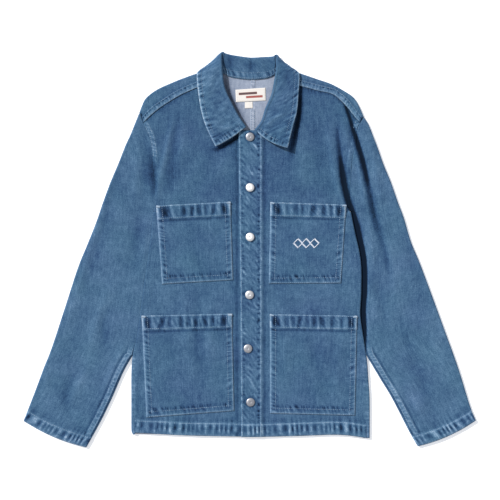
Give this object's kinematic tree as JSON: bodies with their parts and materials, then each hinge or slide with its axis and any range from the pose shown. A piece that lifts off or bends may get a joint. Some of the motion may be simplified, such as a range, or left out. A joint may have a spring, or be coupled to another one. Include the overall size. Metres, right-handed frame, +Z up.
{
  "type": "denim jacket laid flat",
  "caption": "Buttoned denim chore jacket laid flat on its back, with a spread collar, straight sleeves and patch pockets on both fronts.",
  "frame": {"origin": "middle of the jacket's bounding box, on the surface it lies on", "axes": "+Z up from the surface, out of the fronts; +Y from the hem to the collar; +X to the wearer's left"},
  "size_m": [0.8687, 0.7592, 0.022],
  "materials": {
    "denim": "faded mid-blue cotton twill, matt",
    "button_metal": "satin pale metal",
    "label_weave": "cream woven tape, matt"
  },
  "bodies": {
    "root": {"back_left": "denim", "back_right": "denim", "front_left": "denim", "front_right": "denim", "sleeve_left": "denim", "sleeve_right": "denim", "collar": "denim", "pocket_chest_left": "denim", "pocket_chest_right": "denim", "pocket_lower_left": "denim", "pocket_lower_right": "denim", "button_1": "button_metal", "button_2": "button_metal", "button_3": "button_metal", "button_4": "button_metal", "button_5": "button_metal", "button_6": "button_metal", "neck_label": "label_weave", "size_tab": "label_weave"}
  },
  "joints": []
}
